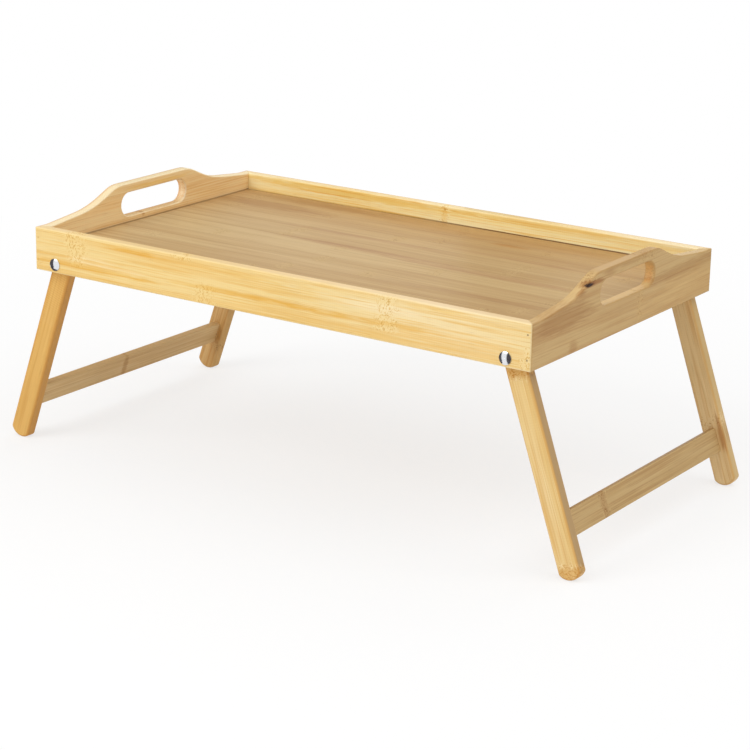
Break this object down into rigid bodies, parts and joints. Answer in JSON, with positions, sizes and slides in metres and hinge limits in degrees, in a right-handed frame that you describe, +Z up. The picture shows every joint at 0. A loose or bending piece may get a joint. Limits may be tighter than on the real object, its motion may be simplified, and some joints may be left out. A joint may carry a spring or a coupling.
{
  "type": "bed tray table",
  "caption": "Rectangular bamboo bed tray with raised end boards slotted as grips and two splayed leg frames that fold flat under the tray.",
  "frame": {"origin": "on the floor, under the middle of the tray, with the leg frames open", "axes": "+X along the tray towards the right handle board, +Y from the front rail to the back rail, +Z up"},
  "size_m": [0.5886, 0.3036, 0.2216],
  "materials": {
    "rail_bamboo": "clear satin lacquer on pale yellow bamboo",
    "handle_bamboo": "clear satin lacquer on bamboo",
    "panel_bamboo": "clear satin lacquer on tan bamboo strips",
    "leg_bamboo": "clear satin lacquer on bamboo",
    "stretcher_bamboo": "clear satin lacquer on tan bamboo",
    "polished_cap": "polished chrome plate",
    "steel_hardware": "zinc plated steel",
    "nylon_spacer": "natural nylon",
    "nail_steel": "bright steel, set below the surface"
  },
  "bodies": {
    "tray": {"tray_panel": "panel_bamboo", "front_rail": "rail_bamboo", "back_rail": "rail_bamboo", "left_handle_board": "handle_bamboo", "right_handle_board": "handle_bamboo", "front_corner_nails": "nail_steel", "back_corner_nails": "nail_steel", "left_front_pivot_sleeve": "polished_cap", "left_front_rail_spacer": "nylon_spacer", "left_front_screw_washer": "steel_hardware", "left_front_pivot_screw": "steel_hardware", "left_back_pivot_sleeve": "polished_cap", "left_back_rail_spacer": "nylon_spacer", "left_back_screw_washer": "steel_hardware", "left_back_pivot_screw": "steel_hardware", "right_front_pivot_sleeve": "polished_cap", "right_front_rail_spacer": "nylon_spacer", "right_front_screw_washer": "steel_hardware", "right_front_pivot_screw": "steel_hardware", "right_back_pivot_sleeve": "polished_cap", "right_back_rail_spacer": "nylon_spacer", "right_back_screw_washer": "steel_hardware", "right_back_pivot_screw": "steel_hardware"},
    "left_leg_frame": {"left_front_leg": "leg_bamboo", "left_back_leg": "leg_bamboo", "left_stretcher": "stretcher_bamboo"},
    "right_leg_frame": {"right_front_leg": "leg_bamboo", "right_back_leg": "leg_bamboo", "right_stretcher": "stretcher_bamboo"}
  },
  "joints": [
    {"name": "left_leg_fold", "type": "hinge", "parent": "tray", "child": "left_leg_frame", "pos_m": [-0.22742, 0, 0.17113], "axis": [0, -1, 0], "range_deg": [0, 109]},
    {"name": "right_leg_fold", "type": "hinge", "parent": "tray", "child": "right_leg_frame", "pos_m": [0.22742, 0, 0.17113], "axis": [0, 1, 0], "range_deg": [0, 109]}
  ]
}
